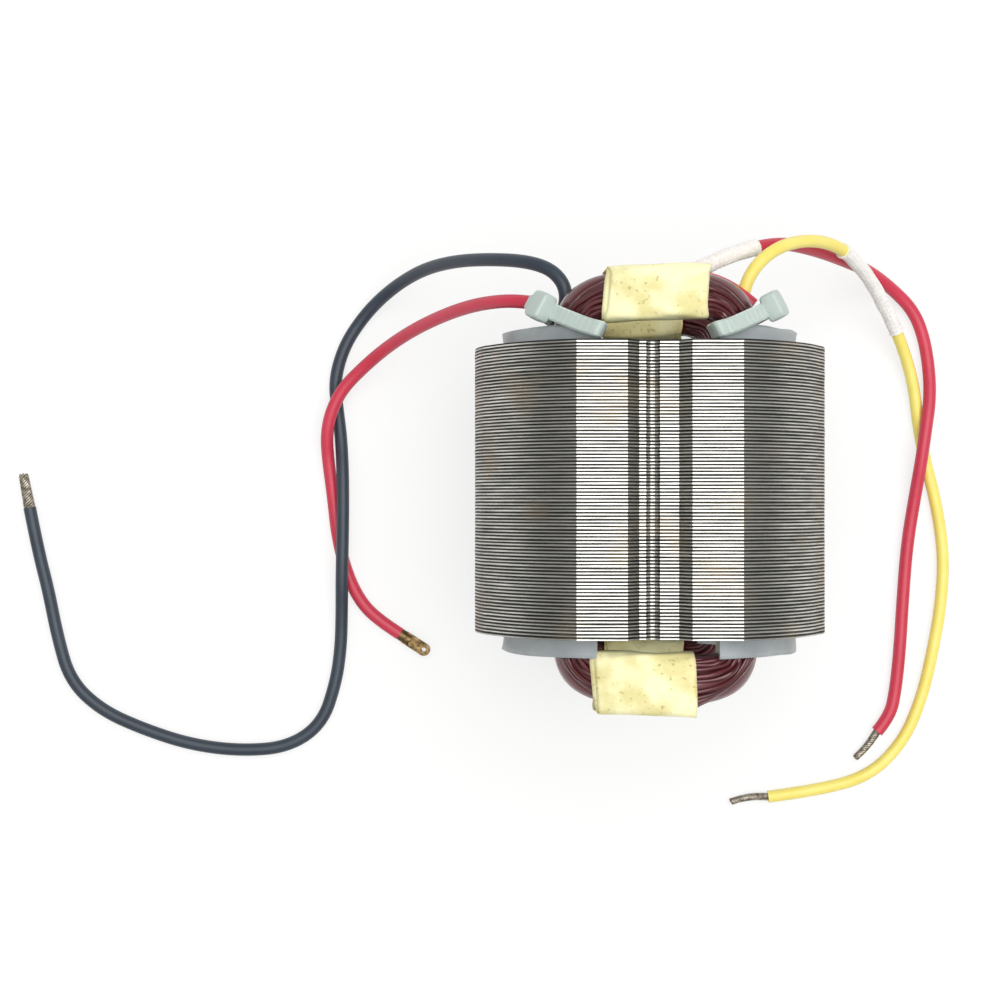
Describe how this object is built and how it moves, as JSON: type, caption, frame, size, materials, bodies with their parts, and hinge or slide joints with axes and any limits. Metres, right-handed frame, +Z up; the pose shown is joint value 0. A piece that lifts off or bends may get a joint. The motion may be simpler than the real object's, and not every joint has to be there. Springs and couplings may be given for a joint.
{
  "type": "universal motor stator with lamination stack",
  "caption": "Two-pole universal motor stator: pressed lamination stack with slot liners, taped field coils, cable ties and loose coloured leads.",
  "frame": {"origin": "centre of the resting plane, below the middle of the stack, on the lower flat's surface", "axes": "+Y along the armature bore towards the lead end, +Z up out of the upper flat, +X to the right seen from above with the lead end away"},
  "size_m": [0.1553, 0.0927, 0.0482],
  "materials": {
    "electrical_steel": "stamped sheet edges, bare",
    "liner_paper": "grey-white slot paper",
    "enamelled_wire": "enamelled copper wire, glossy dark red-brown",
    "coil_tape": "pale yellow tape, satin",
    "tie_nylon": "natural nylon, slightly translucent",
    "black_insulation": "smooth black lead",
    "red_insulation": "smooth red lead",
    "yellow_insulation": "smooth yellow lead",
    "braided_sleeve": "white braided glass sleeve",
    "tinned_strands": "tinned copper strands",
    "crimp_brass": "brass tag"
  },
  "bodies": {
    "root": {"lamination_stack": "electrical_steel", "slot_liner_left": "liner_paper", "slot_liner_right": "liner_paper", "coil_upper": "enamelled_wire", "coil_lower": "enamelled_wire", "tape_upper_lead_end": "coil_tape", "tape_upper_far_end": "coil_tape", "tape_lower_lead_end": "coil_tape", "tape_lower_far_end": "coil_tape", "cable_tie_left": "tie_nylon", "cable_tie_right": "tie_nylon", "lead_black": "black_insulation", "lead_red_left": "red_insulation", "lead_red_right": "red_insulation", "lead_yellow": "yellow_insulation", "sleeve_red": "braided_sleeve", "sleeve_yellow": "braided_sleeve", "bare_end_black": "tinned_strands", "bare_end_red": "tinned_strands", "bare_end_yellow": "tinned_strands", "crimp_red": "crimp_brass"}
  },
  "joints": []
}
